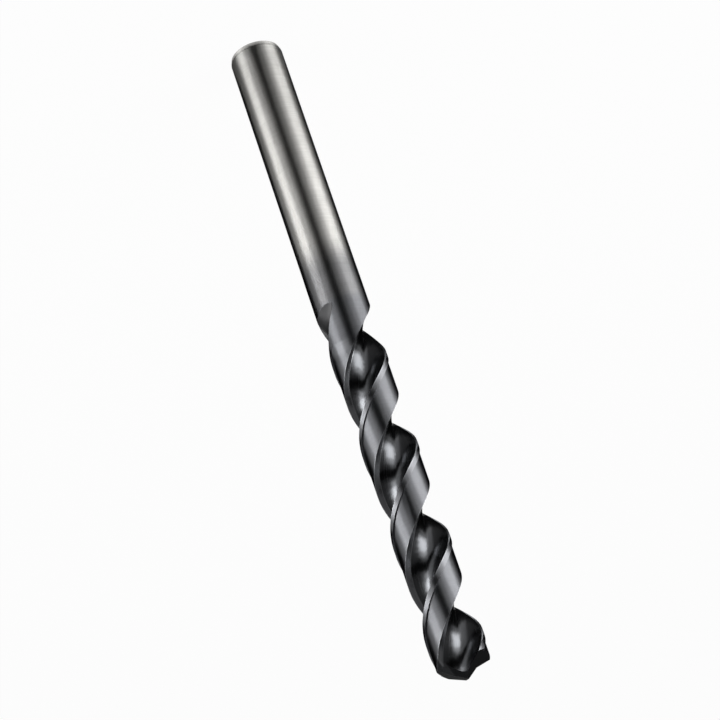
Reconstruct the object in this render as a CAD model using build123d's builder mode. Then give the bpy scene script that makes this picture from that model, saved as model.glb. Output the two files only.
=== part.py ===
from build123d import *
import os
from math import asin, atan, ceil, cos, degrees, radians, sin, sqrt, tan

# Twist drill bit: two-flute jobber drill with wide flutes, split point and plain shank.
#
# The drill stands on the end of its shank: the origin is the centre of the shank end,
# +Z runs along the axis to the point, and sizes are millimetres and degrees.
# Each section of a flute is drawn in the frame of one land: the leading edge of the land
# lies on local +X, and the flute in front of it opens towards positive bearings.

# ------------------------------------------------------------ driving dimensions
drill_diameter = 10.0
overall_length = 133.0
shank_diameter = 9.96
shank_length = 50.0
shank_blend_length = 1.0
end_chamfer_depth = 0.25
end_chamfer_length = 0.9

flute_lead = 37.6
flute_end_height = 58.0
wheel_run_out = 8.0
lead_side_turn = 20.0
heel_side_turn = 6.0
groove_end_rise = 0.25
corner_bearing = 51.0

web_thickness = 2.9
web_taper = 0.012
floor_bearing = 45.0
wall_bearing = 76.0
wall_rise = 0.35
hollow_bearing = 94.0
hollow_rise = 1.0
strip_bearing = 106.0
strip_depth = 1.3
heel_bearing = 108.0
flute_narrowing = 0.158

margin_width = 1.17
body_clearance = 0.285
clearance_end_height = 66.0
clearance_run_out = 3.0
clearance_start_rise = 0.02
clearance_overrun = 100.0

point_angle = 118.0
lip_relief = 12.0
chisel_length = 0.7
notch_edge_heading = 165.0
notch_edge_length = 1.92
notch_course_heading = 80.0
notch_course_descent = 42.5
notch_chisel_side = 158.0
notch_heel_side = 26.0

section_turn = 30.0
cutter_overhang = 1.5

# ------------------------------------------------------------ derived sizes
radius = drill_diameter / 2
shank_radius = shank_diameter / 2
clearance_start_radius = radius + clearance_start_rise
clear_radius = radius - body_clearance
core_radius = clear_radius - cutter_overhang
reach = radius + cutter_overhang
half_web = web_thickness / 2
rake_middle = 0.7 * radius
lip_reach = sqrt(radius**2 - half_web**2)
lip_bearing = corner_bearing - degrees(asin(half_web / radius))
cone_slope = 1 / tan(radians(point_angle / 2))
relief_slope = tan(radians(lip_relief))
chisel_bearing = degrees(atan(cone_slope / relief_slope))
corner_height = overall_length - lip_reach * cone_slope + half_web * relief_slope
cutter_top = overall_length + cutter_overhang
stock_top = overall_length + cutter_overhang / 2
turn_rate = 360 / flute_lead
margin_sweep = degrees(margin_width / radius)


def polar(distance, bearing):
    """Point of a section, from its distance to the axis and its bearing from local +X."""
    return Vector(distance * cos(radians(bearing)), distance * sin(radians(bearing)))


def land_plane(height):
    """Section plane at a height, turned with the helix so that the leading edge is on +X."""
    turn = corner_bearing + turn_rate * (height - corner_height)
    return Plane.XY.offset(height).rotated((0, 0, turn))


def stations(bottom, top):
    """Heights of the lofted sections from one end to the other, a small turn apart."""
    count = ceil((top - bottom) * turn_rate / section_turn)
    return [bottom + (top - bottom) * index / count for index in range(count + 1)]


def rake_point(distance, web):
    """Point of the rake face whose helicoid meets the cone of the point in a straight lip."""
    sweep = degrees(asin(web / distance) - asin(web / radius))
    rise = (sqrt(radius**2 - web**2) - sqrt(distance**2 - web**2)) * cone_slope
    return polar(distance, sweep - rise * turn_rate)


def lifted(spot, share):
    """Spot of the groove moved outwards with the wheel, by a share of the way out of the stock."""
    return spot + spot.normalized() * max(0, radius + groove_end_rise - spot.length) * share


# ------------------------------------------------------------ flute groove
# Rake face, floor and hollow back wall of one flute, up to the narrow flat strip along the heel.
# The flute narrows towards the shank. There the wheel lifts out of the stock, and both sides of
# the groove turn towards the heel as it does, the rake face most.
with BuildPart() as groove:
    for height in stations(flute_end_height, cutter_top):
        depth = corner_height - height
        web = half_web + web_taper / 2 * depth
        run_out = max(0, 1 - (height - flute_end_height) / wheel_run_out)
        back = heel_side_turn * run_out - flute_narrowing * depth
        outline = [rake_point(distance, web) for distance in (reach, radius, rake_middle, web + hollow_rise)]
        outline = [spot.rotate(Axis.Z, lead_side_turn * run_out) for spot in outline]
        outline += [polar(web, floor_bearing), polar(web + wall_rise, wall_bearing + back)]
        outline += [polar(web + hollow_rise, hollow_bearing + back)]
        outline += [polar(radius - strip_depth, strip_bearing + back)]
        strip = polar(radius, heel_bearing + back) - outline[-1]
        outline = [lifted(spot, run_out**2) for spot in outline]
        heel = outline[-1] + strip.normalized() * (reach - outline[-1].length)
        crown = polar(reach + 2 * cutter_overhang, floor_bearing)
        with BuildSketch(land_plane(height)):
            with BuildLine():
                Spline(*outline)
                Line(outline[-1], heel)
                ThreePointArc(heel, crown, outline[0])
            make_face()
    loft()

# ------------------------------------------------------------ body clearance behind the margin
# A helical ring sector over the back of one land, left open inside by a core that runs
# out to the full diameter towards the shank.
with BuildPart() as relief:
    for height in stations(clearance_end_height, cutter_top):
        with BuildSketch(land_plane(height)):
            with BuildLine():
                inner_arc = CenterArc((0, 0), core_radius, -clearance_overrun, clearance_overrun - margin_sweep)
                outer_arc = CenterArc((0, 0), reach, -clearance_overrun, clearance_overrun - margin_sweep)
                Line(inner_arc @ 0, outer_arc @ 0)
                Line(inner_arc @ 1, outer_arc @ 1)
            make_face()
    loft()
    with BuildSketch(Plane.YZ):
        with BuildLine():
            Polyline(
                (0, clearance_end_height - cutter_overhang),
                (clearance_start_radius, clearance_end_height - cutter_overhang),
                (clearance_start_radius, clearance_end_height),
                (clear_radius, clearance_end_height + clearance_run_out),
                (clear_radius, cutter_top + cutter_overhang),
                (0, cutter_top + cutter_overhang),
                close=True,
            )
        make_face()
    revolve(axis=Axis.Z, mode=Mode.SUBTRACT)

# ------------------------------------------------------------ split point notch
# A V between the chisel edge and the heel, whose bottom line starts on the flank behind the
# web and runs down into the flute. One side is the face of the short inner lip.
notch_edge = polar(notch_edge_length, notch_edge_heading)
notch_drop = cone_slope * notch_edge.X - relief_slope * notch_edge.Y
chisel_end = Vector(0, 0, overall_length) + polar(chisel_length / 2, lip_bearing + chisel_bearing)
notch_start = chisel_end + Vector(notch_edge.X, notch_edge.Y, notch_drop).rotate(Axis.Z, lip_bearing)
notch_bearing = lip_bearing + notch_course_heading
notch_course = Vector(1, 0, 0).rotate(Axis.Y, notch_course_descent).rotate(Axis.Z, notch_bearing)
with BuildPart() as notch:
    with BuildSketch(Plane(notch_start, x_dir=polar(1, notch_bearing + 90), z_dir=notch_course)):
        with BuildLine():
            Polyline((0, 0), polar(reach, notch_heel_side), polar(reach, notch_chisel_side), close=True)
        make_face()
    extrude(amount=drill_diameter, both=True)

# ------------------------------------------------------------ drill
with BuildPart() as drill:
    with BuildSketch(Plane.YZ):
        with BuildLine():
            Polyline(
                (0, 0),
                (shank_radius - end_chamfer_depth, 0),
                (shank_radius, end_chamfer_length),
                (shank_radius, shank_length),
                (radius, shank_length + shank_blend_length),
                (radius, stock_top),
                (0, stock_top),
                close=True,
            )
        make_face()
    revolve(axis=Axis.Z)
    with PolarLocations(radius=0, count=2):
        add(groove.part, mode=Mode.SUBTRACT)
    with PolarLocations(radius=0, count=2):
        add(relief.part, mode=Mode.SUBTRACT)
    for bearing in (lip_bearing, lip_bearing + 180):
        flank_normal = Vector(cone_slope, -relief_slope, 1).rotate(Axis.Z, bearing)
        split(bisect_by=Plane((0, 0, overall_length), z_dir=flank_normal), keep=Keep.BOTTOM)
    with PolarLocations(radius=0, count=2):
        add(notch.part, mode=Mode.SUBTRACT)

os.makedirs("parts", exist_ok=True)
drill.part.label = "twist_drill"
export_step(drill.part, "parts/twist_drill.step")
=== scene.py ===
"""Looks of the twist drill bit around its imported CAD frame."""

import logging
import math
from collections.abc import Sequence
from dataclasses import dataclass
from enum import Enum

import bpy
from mathutils import Matrix, Vector

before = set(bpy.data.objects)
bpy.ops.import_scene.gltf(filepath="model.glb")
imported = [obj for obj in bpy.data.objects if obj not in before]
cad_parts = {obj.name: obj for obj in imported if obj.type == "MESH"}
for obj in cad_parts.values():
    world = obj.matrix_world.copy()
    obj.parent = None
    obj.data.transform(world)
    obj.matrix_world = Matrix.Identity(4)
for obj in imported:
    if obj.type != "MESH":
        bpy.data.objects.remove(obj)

LOG = logging.getLogger("twist_drill")
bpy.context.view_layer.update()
MM = 0.001

# The types of a colour, and of what feeds a node's input: a node, a socket or a plain value.
Colour = tuple[float, float, float, float]
Source = bpy.types.Node | bpy.types.NodeSocket
Feed = Source | float | tuple[float, ...]


def linear(hex_colour: str) -> Colour:
    """Turns an sRGB hex colour into linear RGBA.

    Args:
        hex_colour: Six hex digits, with or without a leading hash.

    Returns:
        The linear red, green, blue and an alpha of one.
    """
    digits = hex_colour.lstrip("#")
    channels = [int(digits[index : index + 2], 16) / 255 for index in (0, 2, 4)]
    decoded = [c / 12.92 if c <= 0.04045 else ((c + 0.055) / 1.055) ** 2.4 for c in channels]
    return (*decoded, 1.0)


def add_node(
    tree: bpy.types.NodeTree, kind: str, feeds: Sequence[Feed] | dict[str, Feed] = (), **settings: str
) -> bpy.types.Node:
    """Adds one shader node with its settings and whatever feeds its inputs.

    Args:
        tree: The node tree that gets the node.
        kind: The node's type name, without its ShaderNode.
        feeds: Values, sockets or nodes for the inputs, by name or in the order of the inputs in
            use. A node gives its first output in use.
        settings: Attributes of the node itself.

    Returns:
        The new node.
    """
    node = tree.nodes.new(f"ShaderNode{kind}")
    for name, value in settings.items():
        setattr(node, name, value)
    if isinstance(feeds, dict):
        inputs = [node.inputs[name] for name in feeds]
        feeds = list(feeds.values())
    else:
        inputs = [socket for socket in node.inputs if socket.enabled]
    for socket, feed in zip(inputs, feeds):
        if isinstance(feed, bpy.types.Node):
            feed = next(output for output in feed.outputs if output.enabled)
        if isinstance(feed, bpy.types.NodeSocket):
            tree.links.new(feed, socket)
        else:
            socket.default_value = feed
    return node


@dataclass(frozen=True)
class DrillForm:
    """Sizes of the ground drill that its finishes follow, in millimetres and degrees.

    The drill has two lands and two flutes, half a turn apart, so that its bearings start anew
    after one land spacing.
    """

    groove_start: float = 58.0
    land_start: float = 69.0
    lead: float = 37.6
    corner_bearing: float = 51.0
    corner_height: float = 130.43
    margin_sweep: float = 13.4
    heel_bearing: float = 107.7
    flute_narrowing: float = 0.158
    land_spacing: float = 180.0
    radius: float = 5.0
    clear_radius: float = 4.715
    strip_radius: float = 3.7

    @property
    def turn_rate(self) -> float:
        """Returns the turn of the helix in degrees for each millimetre of height."""
        return 360 / self.lead


@dataclass(frozen=True)
class ZoneWidths:
    """How wide and soft the zones of the finishes are, in millimetres and degrees.

    Each pair says where a zone starts to show and where it is full. The tilts are the upward
    share of the surface's normal, and all other pairs are measured from the drill size that they
    are about.
    """

    groove_ends: tuple[float, float] = (-1.0, 1.0)
    wall_ends: tuple[float, float] = (-0.02, -0.1)
    shallow_wall_ends: tuple[float, float] = (-0.03, -0.12)
    shallow_ends: tuple[float, float] = (0.0, -4.0)
    run_out_ends: tuple[float, float] = (5.0, 2.0)
    strip_foot_ends: tuple[float, float] = (-0.2, 0.0)
    strip_place: float = -1.2
    strip_half_width: float = 1.0
    strip_softness: float = 0.8
    land_ends: tuple[float, float] = (-4.0, -1.0)
    rim_ends: tuple[float, float] = (0.08, 0.2)
    margin_softness: float = 0.6
    edge_place: float = 0.4
    edge_half_width: float = 1.6
    edge_softness: float = 1.2
    heel_rim_ends: tuple[float, float] = (-0.25, -0.1)
    heel_place: float = 0.0
    heel_half_width: float = 0.5
    heel_softness: float = 0.8
    flank_tilts: tuple[float, float] = (0.74, 0.8)
    flank_ends: tuple[float, float] = (-3.0, -2.0)


class Zones:
    """Where on the drill a point lies: its coordinates, and the ground surfaces it can be on.

    Each zone is 1 on its surface and 0 elsewhere. Fluted is all that lies past the plain shank.
    On it come the flutes with their run-outs and the strips along their heels, the margins, the
    flanks of the point, and the edges of margins and heels that get painted highlights.
    """

    def __init__(self, tree: bpy.types.NodeTree, form: DrillForm, widths: ZoneWidths) -> None:
        """Builds the coordinates, in millimetres and degrees, and then the zones.

        Args:
            tree: The material's node tree.
            form: The drill's sizes.
            widths: How wide and soft each zone is.
        """
        self.tree = tree
        place = add_node(tree, "TexCoord")
        scaled = add_node(tree, "VectorMath", [place.outputs["Object"], 1 / MM], operation="SCALE")
        self.x, self.y, self.height = add_node(tree, "SeparateXYZ", [scaled]).outputs
        flat = add_node(tree, "CombineXYZ", [self.x, self.y])
        self.radius = add_node(tree, "VectorMath", [flat], operation="LENGTH")
        self.place_helix(form)
        tilt = add_node(tree, "SeparateXYZ", [place.outputs["Normal"]]).outputs["Z"]
        point = self.fade(self.height, widths.flank_ends, form.corner_height)
        self.flank = self.overlap(self.fade(tilt, widths.flank_tilts), point)
        self.place_flutes(form, widths)
        self.place_edges(form, widths)

    def place_helix(self, form: DrillForm) -> None:
        """Builds the bearings that turn with the helix: from the leading edge and past the heel.

        Args:
            form: The drill's sizes.
        """
        bearing = add_node(self.tree, "Math", [self.y, self.x], operation="ARCTAN2")
        bearing = add_node(self.tree, "Math", [bearing], operation="DEGREES")
        start = form.corner_bearing - form.turn_rate * form.corner_height
        bearing = add_node(self.tree, "Math", [bearing, start], operation="SUBTRACT")
        turning = [self.height, -form.turn_rate, bearing]
        turned = add_node(self.tree, "Math", turning, operation="MULTIPLY_ADD")
        near = form.land_spacing / 2
        self.from_edge = add_node(self.tree, "Math", [turned, near, -near], operation="WRAP")
        in_front = add_node(self.tree, "Math", [turned, form.land_spacing, 0.0], operation="WRAP")
        narrowing = [self.height, -form.flute_narrowing, in_front]
        narrowed = add_node(self.tree, "Math", narrowing, operation="MULTIPLY_ADD")
        heel = form.heel_bearing - form.flute_narrowing * form.corner_height
        self.past_heel = add_node(self.tree, "Math", [narrowed, heel], operation="SUBTRACT")

    def place_flutes(self, form: DrillForm, widths: ZoneWidths) -> None:
        """Builds the zones of the flutes: their walls, their run-outs and the strips at the heels.

        Args:
            form: The drill's sizes.
            widths: How wide and soft each zone is.
        """
        self.fluted = self.fade(self.height, widths.groove_ends, form.groove_start)
        deep = self.fade(self.radius, widths.wall_ends, form.clear_radius)
        shallow = self.overlap(
            self.fade(self.height, widths.shallow_ends, form.land_start),
            self.fade(self.radius, widths.shallow_wall_ends, form.radius),
        )
        inside = add_node(self.tree, "Math", [deep, shallow], operation="MAXIMUM")
        off_flank = add_node(self.tree, "Math", [1.0, self.flank], operation="SUBTRACT")
        self.flute = self.overlap(inside, self.fluted, off_flank)
        ending = self.fade(self.height, widths.run_out_ends, form.groove_start)
        self.run_out = self.overlap(self.flute, ending)
        self.strip = self.overlap(
            self.flute,
            self.band(self.past_heel, widths.strip_place, widths.strip_half_width, widths.strip_softness),
            self.fade(self.radius, widths.strip_foot_ends, form.strip_radius),
        )

    def place_edges(self, form: DrillForm, widths: ZoneWidths) -> None:
        """Builds the zones of the lands: the margins, and their edges and heels that get painted highlights.

        Args:
            form: The drill's sizes.
            widths: How wide and soft each zone is.
        """
        land = self.fade(self.height, widths.land_ends, form.land_start)
        rim = self.fade(self.radius, widths.rim_ends, form.clear_radius)
        middle = form.margin_sweep / 2
        margin = self.band(self.from_edge, -middle, middle, widths.margin_softness)
        self.margin = self.overlap(margin, rim, land)
        edge = self.band(self.from_edge, widths.edge_place, widths.edge_half_width, widths.edge_softness)
        self.edge = self.overlap(edge, rim, land)
        heel = self.band(self.past_heel, widths.heel_place, widths.heel_half_width, widths.heel_softness)
        heel_rim = self.fade(self.radius, widths.heel_rim_ends, form.clear_radius)
        self.heel_edge = self.overlap(heel, heel_rim, land)

    def fade(self, value: Source, ends: tuple[float, float], size: float = 0.0) -> Source:
        """Builds a zone that starts to show at one value and is full at another.

        Args:
            value: The coordinate that the zone depends on.
            ends: Where the zone starts to show and where it is full.
            size: The value that both ends are measured from.

        Returns:
            The zone.
        """
        first, full = ends
        return add_node(
            self.tree, "MapRange", [value, size + first, size + full], interpolation_type="SMOOTHSTEP"
        )

    def band(self, value: Source, centre: float, half_width: float, softness: float) -> Source:
        """Builds a zone within a band of a value.

        Args:
            value: The coordinate that the band lies across.
            centre: The value at the band's middle.
            half_width: How far from its middle the band is full.
            softness: How much farther each side takes to fade out.

        Returns:
            The zone.
        """
        offset = add_node(self.tree, "Math", [value, centre], operation="SUBTRACT")
        away = add_node(self.tree, "Math", [offset], operation="ABSOLUTE")
        return self.fade(away, (softness, 0.0), half_width)

    def overlap(self, *zones: Source) -> Source:
        """Builds the zone in which all the given zones overlap.

        Args:
            zones: The zones, two or more.

        Returns:
            The zone.
        """
        shared, *others = zones
        for zone in others:
            shared = add_node(self.tree, "Math", [shared, zone], operation="MULTIPLY")
        return shared

    def noise(self, place: Sequence[Source], cell: tuple[float, float, float], detail: float) -> Source:
        """Builds a random pattern over three coordinates.

        Args:
            place: The three coordinates.
            cell: The size of one cell of the pattern along each of them.
            detail: How many finer layers the pattern has.

        Returns:
            The pattern, from 0 to 1.
        """
        point = add_node(self.tree, "CombineXYZ", place)
        in_cells = add_node(self.tree, "VectorMath", [point, cell], operation="DIVIDE")
        return add_node(self.tree, "TexNoise", {"Vector": in_cells, "Scale": 1.0, "Detail": detail})


@dataclass(frozen=True)
class SteamOxideSteel:
    """High speed steel, ground and then steam tempered.

    The oxide is thin and dark over fine grinding lines, so the metal stays glossy under it. It
    gives the eye long soft streaks along the shank and the lands, and darker and sharper ones in
    the flutes. Pale lines along the edges of the margins and heels are painted highlights, and a
    thin ring near the shank's end is painted shade. Lengths are in millimetres and sweeps are in
    degrees.
    """

    shank_colour: str = "#B3B2AF"
    smoke_colour: str = "#7C7C7D"
    land_colour: str = "#6F7073"
    margin_colour: str = "#808184"
    flute_colour: str = "#48494B"
    run_out_colour: str = "#686869"
    strip_colour: str = "#87888B"
    flank_colour: str = "#68696B"
    # The edge colour is a painted highlight along the edges of the margins and heels.
    edge_highlight_colour: str = "#AFB1B4"
    smoke_heights: tuple[float, float] = (44.0, 52.0)

    roughness: float = 0.42
    flute_roughness: float = 0.24
    run_out_roughness: float = 0.6
    flank_roughness: float = 0.5
    anisotropy: float = 0.95
    flute_anisotropy: float = 0.3
    end_face_turn: float = 0.002

    line_detail: float = 2.0
    ring_spacing: float = 0.22
    ring_length: float = 5.0
    helix_line_sweep: float = 1.6
    helix_line_length: float = 12.0
    helix_line_depth: float = 0.3
    line_contrast: float = 0.32
    line_roughness: float = 0.16
    line_depth: float = 0.006
    line_strength: float = 0.5

    mottle_size: float = 5.0
    mottle_detail: float = 3.0
    mottle_contrast: float = 0.3
    middle_level: float = 0.87
    # The end ring is painted shade: a thin dark ring near the top of the shank end's chamfer.
    end_ring_height: float = 1.0
    end_ring_half_width: float = 0.05
    end_ring_softness: float = 0.08
    end_ring_painted_shade: float = 0.3
    # The mottle breaks up the painted highlight along the edges, and the share sets how strong it is.
    edge_highlight_breakup: tuple[float, float] = (0.25, 0.6)
    edge_highlight_share: float = 0.7

    def build(self, form: DrillForm, widths: ZoneWidths) -> bpy.types.Material:
        """Builds the material.

        Args:
            form: The drill's sizes.
            widths: How wide and soft each zone is.

        Returns:
            The finished material.
        """
        material = bpy.data.materials.new("steam_oxide_steel")
        material.use_nodes = True
        tree = material.node_tree
        tree.nodes.clear()
        zones = Zones(tree, form, widths)
        lines = self.grinding_lines(zones)
        bump = {"Strength": self.line_strength, "Distance": self.line_depth * MM, "Height": lines}
        steel = {
            "Base Color": self.colour(zones, lines),
            "Metallic": 1.0,
            "Roughness": self.gloss(zones, lines),
            "Anisotropic": add_node(tree, "Mix", [zones.flute, self.anisotropy, self.flute_anisotropy]),
            "Tangent": self.streak_direction(zones),
            "Normal": add_node(tree, "Bump", bump),
        }
        add_node(tree, "OutputMaterial", [add_node(tree, "BsdfPrincipled", steel)])
        return material

    def grinding_lines(self, zones: Zones) -> Source:
        """Builds the grinding lines: rings on the shank and lands, helical lines in the flutes.

        The real lines are a few hundredths of a millimetre apart, too fine to show, so they are
        drawn coarser.

        Args:
            zones: Where on the drill a point lies.

        Returns:
            The height of the lines, from 0 to 1.
        """
        ring_cell = (self.ring_spacing, self.ring_length, self.ring_length)
        rings = zones.noise([zones.height, zones.x, zones.y], ring_cell, self.line_detail)
        line_cell = (self.helix_line_sweep, self.helix_line_length, self.helix_line_depth)
        helical = zones.noise([zones.from_edge, zones.height, zones.radius], line_cell, self.line_detail)
        return add_node(zones.tree, "Mix", [zones.flute, rings, helical])

    def gloss(self, zones: Zones, lines: Source) -> Source:
        """Builds the roughness: sharper in the flutes, duller on the run-outs and flanks.

        Args:
            zones: Where on the drill a point lies.
            lines: The grinding lines.

        Returns:
            The roughness.
        """
        roughness = self.roughness
        for zone, finish in (
            (zones.flute, self.flute_roughness),
            (zones.run_out, self.run_out_roughness),
            (zones.flank, self.flank_roughness),
        ):
            roughness = add_node(zones.tree, "Mix", [zone, roughness, finish])
        lowest = add_node(zones.tree, "Math", [roughness, self.line_roughness / 2], operation="SUBTRACT")
        return add_node(zones.tree, "Math", [lines, self.line_roughness, lowest], operation="MULTIPLY_ADD")

    def streak_direction(self, zones: Zones) -> Source:
        """Builds the direction in which the grinding lines spread a highlight: along the axis.

        A very slight turn round the axis leaves a direction on the flat end of the shank, where
        the axis points straight out of the face.

        Args:
            zones: Where on the drill a point lies.

        Returns:
            The shader's tangent.
        """
        sideways = add_node(zones.tree, "Math", [zones.y, -self.end_face_turn], operation="MULTIPLY")
        onwards = add_node(zones.tree, "Math", [zones.x, self.end_face_turn], operation="MULTIPLY")
        return add_node(zones.tree, "CombineXYZ", [sideways, onwards, 1.0])

    def colour(self, zones: Zones, lines: Source) -> Source:
        """Builds the oxide's colour: smoke, mottling, lines, a painted shade ring and painted edge
        highlights.

        Args:
            zones: Where on the drill a point lies.
            lines: The grinding lines.

        Returns:
            The colour.
        """
        tree = zones.tree
        colour = linear(self.shank_colour)
        for zone, finish in (
            (zones.fade(zones.height, self.smoke_heights), self.smoke_colour),
            (zones.fluted, self.land_colour),
            (zones.margin, self.margin_colour),
            (zones.flute, self.flute_colour),
            (zones.run_out, self.run_out_colour),
            (zones.strip, self.strip_colour),
            (zones.flank, self.flank_colour),
        ):
            colour = add_node(tree, "Mix", [zone, colour, linear(finish)], data_type="RGBA")
        mottle_cell = (self.mottle_size, self.mottle_size, self.mottle_size)
        mottle = zones.noise([zones.x, zones.y, zones.height], mottle_cell, self.mottle_detail)
        # Painted shade: a thin dark ring 1 mm above the shank's end, near the top of its chamfer.
        painted_shade_ring = zones.band(
            zones.height, self.end_ring_height, self.end_ring_half_width, self.end_ring_softness
        )
        level = self.middle_level - self.line_contrast / 2
        for pattern, contrast in (
            (mottle, self.mottle_contrast),
            (lines, self.line_contrast),
            (painted_shade_ring, -self.end_ring_painted_shade),
        ):
            level = add_node(tree, "Math", [pattern, contrast, level], operation="MULTIPLY_ADD")
        shaded = add_node(tree, "VectorMath", [colour, level], operation="SCALE")
        # Painted highlight: pale lines along the edges of the margins and heels, broken up by the mottle.
        highlit_edges = add_node(tree, "Math", [zones.edge, zones.heel_edge], operation="MAXIMUM")
        edge_highlight = zones.overlap(highlit_edges, zones.fade(mottle, self.edge_highlight_breakup))
        share = add_node(tree, "Math", [edge_highlight, self.edge_highlight_share], operation="MULTIPLY")
        return add_node(tree, "Mix", [share, shaded, linear(self.edge_highlight_colour)], data_type="RGBA")


@dataclass(frozen=True)
class TwistDrill:
    """The whole drill: one piece of steel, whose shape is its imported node."""

    name: str = "twist_drill"
    form: DrillForm = DrillForm()
    widths: ZoneWidths = ZoneWidths()
    steel: SteamOxideSteel = SteamOxideSteel()

    def build(self) -> None:
        """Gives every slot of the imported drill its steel."""
        material = self.steel.build(self.form, self.widths)
        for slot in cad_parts[self.name].material_slots:
            slot.material = material


@dataclass(frozen=True)
class StudioCamera:
    """The camera, looking down at the standing drill with its point low in the frame.

    Its place and its range are in millimetres. Right and up are the directions of the picture's
    own sides.
    """

    name: str = "camera"
    focal_length: float = 150.0
    sensor: float = 36.0
    nearest: float = 10.0
    farthest: float = 50000.0
    place: tuple[float, float, float] = (0.0, -468.23, 323.41)
    right: tuple[float, float, float] = (-0.946287, 0.154269, 0.284153)
    up: tuple[float, float, float] = (-0.323329, -0.451973, -0.831372)

    def build(self) -> None:
        """Adds the camera and makes it the scene's own."""
        data = bpy.data.cameras.new(self.name)
        data.lens = self.focal_length
        data.sensor_width = self.sensor
        data.clip_start = self.nearest * MM
        data.clip_end = self.farthest * MM
        camera = bpy.data.objects.new(self.name, data)
        right, up = Vector(self.right), Vector(self.up)
        turn = Matrix((right, up, right.cross(up))).transposed().to_4x4()
        camera.matrix_world = Matrix.Translation(Vector(self.place) * MM) @ turn
        bpy.context.scene.collection.objects.link(camera)
        bpy.context.scene.camera = camera


@dataclass(frozen=True)
class MattPaper:
    """White uncoated paper, pressed matt.

    The camera, the metal and glass see most of it as an even white page. The share that is left
    to the lamps keeps the drill's shadow.
    """

    shade: float = 0.85
    roughness: float = 0.9
    page_share: float = 0.96

    def build(self) -> bpy.types.Material:
        """Builds the material.

        Returns:
            The finished material.
        """
        material = bpy.data.materials.new("floor_paper")
        material.use_nodes = True
        tree = material.node_tree
        tree.nodes.clear()
        sheet = {"Base Color": (self.shade, self.shade, self.shade, 1), "Roughness": self.roughness}
        paper = add_node(tree, "BsdfPrincipled", sheet)
        page = add_node(tree, "Emission", {"Strength": 1.0})
        rays = add_node(tree, "LightPath").outputs
        seen = rays["Is Camera Ray"]
        for ray in ("Is Glossy Ray", "Is Transmission Ray"):
            seen = add_node(tree, "Math", [seen, rays[ray]], operation="MAXIMUM")
        share = add_node(tree, "Math", [seen, self.page_share], operation="MULTIPLY")
        add_node(tree, "OutputMaterial", [add_node(tree, "MixShader", [share, paper, page])])
        return material


@dataclass(frozen=True)
class Floor:
    """The sheet of paper that the drill stands on, with its size in millimetres."""

    name: str = "floor"
    size: float = 6000.0
    paper: MattPaper = MattPaper()

    def build(self) -> None:
        """Adds the sheet as one flat square."""
        half = self.size / 2 * MM
        corners = [(-half, -half, 0), (half, -half, 0), (half, half, 0), (-half, half, 0)]
        mesh = bpy.data.meshes.new(self.name)
        mesh.from_pydata(corners, [], [(0, 1, 2, 3)])
        floor = bpy.data.objects.new(self.name, mesh)
        bpy.context.scene.collection.objects.link(floor)
        floor.data.materials.append(self.paper.build())


class FlagCloth(Enum):
    """Matt cloths for the flags, each with the share of light that it gives back.

    The pile of velvet swallows the light, so the metal mirrors it as black. Felt gives back
    enough to be mirrored as grey.
    """

    BLACK_VELVET = 0.005
    GREY_FELT = 0.3

    def build(self, name: str) -> bpy.types.Material:
        """Builds the material.

        Args:
            name: The material's name.

        Returns:
            The finished material.
        """
        material = bpy.data.materials.new(name)
        material.use_nodes = True
        cloth = material.node_tree.nodes["Principled BSDF"]
        cloth.inputs["Base Color"].default_value = (self.value, self.value, self.value, 1)
        cloth.inputs["Specular IOR Level"].default_value = 0.0
        return material


@dataclass(frozen=True)
class Flag:
    """A dark flag that only the metal sees, and that gives the drill a dark stripe.

    It is a sector of a ring just above the paper, turned up into a wall at its outer side. Start
    and sweep are bearings in degrees, the other sizes are in millimetres.
    """

    name: str
    start: float
    sweep: float
    inner: float
    outer: float
    wall_height: float
    cloth: FlagCloth = FlagCloth.BLACK_VELVET
    lift: float = 0.7
    steps: int = 24

    def build(self) -> None:
        """Adds the flag, which the camera and the paper don't see and which throws no shadow."""
        turns = [self.start + self.sweep * step / self.steps for step in range(self.steps + 1)]
        bearings = [math.radians(turn) for turn in turns]
        rows = ((self.inner, self.lift), (self.outer, self.lift), (self.outer, self.wall_height))
        points = [
            (math.cos(bearing) * reach * MM, math.sin(bearing) * reach * MM, height * MM)
            for reach, height in rows
            for bearing in bearings
        ]
        row = len(bearings)
        faces = [
            (first + step, first + step + 1, first + step + 1 + row, first + step + row)
            for first in (0, row)
            for step in range(self.steps)
        ]
        mesh = bpy.data.meshes.new(self.name)
        mesh.from_pydata(points, [], faces)
        flag = bpy.data.objects.new(self.name, mesh)
        bpy.context.scene.collection.objects.link(flag)
        flag.data.materials.append(self.cloth.build(self.name))
        flag.visible_camera = False
        flag.visible_diffuse = False
        flag.visible_shadow = False


@dataclass(frozen=True)
class Lamp:
    """A soft lamp that stands off from the drill's axis and aims at a height on it.

    The bearing is in degrees, the sizes are in millimetres, and the radiance is in watts per
    square metre and steradian.
    """

    name: str
    bearing: float
    distance: float
    height: float
    width: float
    tall: float
    radiance: float
    aim: float

    def build(self) -> None:
        """Adds the lamp, which the camera doesn't see."""
        data = bpy.data.lights.new(self.name, "AREA")
        data.shape = "RECTANGLE"
        data.size, data.size_y = self.width * MM, self.tall * MM
        data.energy = self.radiance * math.pi * self.width * self.tall * MM * MM
        lamp = bpy.data.objects.new(self.name, data)
        angle = math.radians(self.bearing)
        place = Vector((math.cos(angle) * self.distance, math.sin(angle) * self.distance, self.height)) * MM
        away = place - Vector((0, 0, self.aim)) * MM
        lamp.matrix_world = Matrix.Translation(place) @ away.to_track_quat("Z", "Y").to_matrix().to_4x4()
        lamp.visible_camera = False
        bpy.context.scene.collection.objects.link(lamp)


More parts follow.
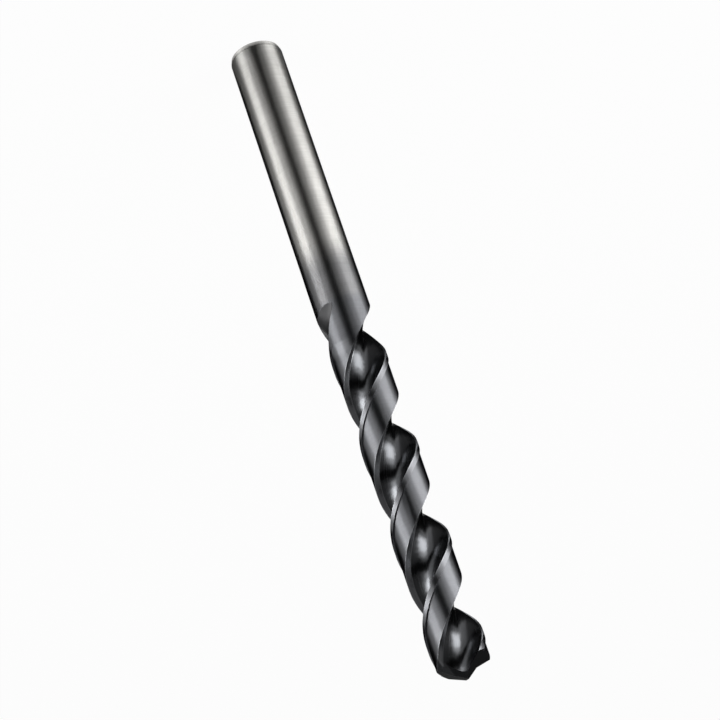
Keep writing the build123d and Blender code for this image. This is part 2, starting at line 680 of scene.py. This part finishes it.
@dataclass(frozen=True)
class Sky:
    """An even dim sky, as the share of white that it gives from all sides."""

    name: str = "sky"
    strength: float = 0.15

    def build(self) -> None:
        """Adds the sky and makes it the scene's world."""
        world = bpy.data.worlds.new(self.name)
        world.use_nodes = True
        background = world.node_tree.nodes["Background"]
        background.inputs["Color"].default_value = (1, 1, 1, 1)
        background.inputs["Strength"].default_value = self.strength
        bpy.context.scene.world = world


# The black flags lie in the directions that the drill mirrors as dark stripes. The grey one lies
# round its foot, where the steep walls of the flutes look.
FLAGS = (
    Flag(
        "flag_foot",
        start=0,
        sweep=360,
        inner=5.2,
        outer=95,
        wall_height=0.5,
        cloth=FlagCloth.GREY_FELT,
        lift=0.3,
    ),
    Flag("flag_front", start=260, sweep=17, inner=5.2, outer=110, wall_height=0.9),
    Flag("flag_front_far", start=253, sweep=31, inner=110, outer=700, wall_height=700),
    Flag("flag_back_left", start=20, sweep=60, inner=5.2, outer=700, wall_height=500),
    Flag("flag_back_right", start=100, sweep=56, inner=5.2, outer=700, wall_height=500),
)

# Each side has a low wide lamp and a brighter core, so that its streak swells softly to a middle.
LAMPS = (
    Lamp("lamp_right", bearing=206, distance=330, height=70, width=420, tall=140, radiance=3.1, aim=70),
    Lamp("lamp_right_core", bearing=201, distance=328, height=70, width=240, tall=140, radiance=5.6, aim=70),
    Lamp("lamp_left", bearing=323, distance=330, height=35, width=400, tall=70, radiance=5, aim=35),
    Lamp("lamp_left_core", bearing=329, distance=328, height=35, width=190, tall=70, radiance=10.4, aim=35),
    Lamp("lamp_above", bearing=90, distance=100, height=1200, width=900, tall=900, radiance=1.5, aim=66),
)


def main() -> None:
    """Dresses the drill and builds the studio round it."""
    logging.basicConfig(level=logging.INFO, format="%(name)s: %(message)s")
    bpy.context.scene.view_settings.view_transform = "Standard"
    for piece in (TwistDrill(), StudioCamera(), Floor(), Sky(), *FLAGS, *LAMPS):
        piece.build()
        LOG.info("built %s", piece.name)


if __name__ == "__main__":
    main()
